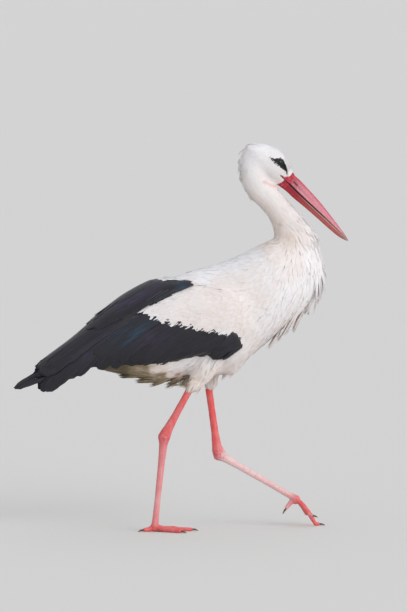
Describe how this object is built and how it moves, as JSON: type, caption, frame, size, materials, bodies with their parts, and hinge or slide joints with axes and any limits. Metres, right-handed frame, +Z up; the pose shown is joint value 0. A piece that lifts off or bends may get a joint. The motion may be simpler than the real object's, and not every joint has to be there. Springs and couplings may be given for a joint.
{
  "type": "white stork",
  "caption": "Standing white stork in mid-stride, still life-size display model: white plumage, black flight feathers, long red bill and legs.",
  "frame": {"origin": "on the floor, under the middle of the whole bird's bounding box", "axes": "+X the way the bird walks and its bill points, +Y to its left, +Z up"},
  "size_m": [0.7636, 0.1958, 0.8714],
  "materials": {
    "plumage_white": "matt white feathers, creamy on the neck and warmer in the shade of the belly",
    "plumage_black": "black flight feathers with a faint violet and blue-green sheen",
    "bill": "smooth horn, crimson at the base and pinker along the side",
    "leg_skin": "scaled bare skin, coral red, paler along the lower leg",
    "eye": "wet dark brown eye",
    "claw": "dull dark brown horn"
  },
  "bodies": {
    "root": {"head": "plumage_white", "eye_right": "eye", "eye_left": "eye", "bill_upper": "bill", "bill_lower": "bill", "neck_upper": "plumage_white", "neck_middle": "plumage_white", "neck_lower": "plumage_white", "trunk": "plumage_white", "wing_coverts_right": "plumage_white", "wing_coverts_left": "plumage_white", "wing_alula_right": "plumage_black", "wing_alula_left": "plumage_black", "wing_scapulars_right": "plumage_black", "wing_scapulars_left": "plumage_black", "wing_tertials_right": "plumage_black", "wing_tertials_left": "plumage_black", "wing_secondaries_right": "plumage_black", "wing_secondaries_left": "plumage_black", "wing_primaries_right": "plumage_black", "wing_primaries_left": "plumage_black", "tail": "plumage_white", "thigh_right": "plumage_white", "tibia_right": "leg_skin", "hock_right": "leg_skin", "tarsus_right": "leg_skin", "foot_right": "leg_skin", "toe_middle_right": "leg_skin", "claw_middle_right": "claw", "toe_outer_right": "leg_skin", "claw_outer_right": "claw", "toe_inner_right": "leg_skin", "claw_inner_right": "claw", "toe_hind_right": "leg_skin", "claw_hind_right": "claw", "thigh_left": "plumage_white", "tibia_left": "leg_skin", "hock_left": "leg_skin", "tarsus_left": "leg_skin", "foot_left": "leg_skin", "toe_middle_left": "leg_skin", "claw_middle_left": "claw", "toe_outer_left": "leg_skin", "claw_outer_left": "claw", "toe_inner_left": "leg_skin", "claw_inner_left": "claw", "toe_hind_left": "leg_skin", "claw_hind_left": "claw"}
  },
  "joints": []
}
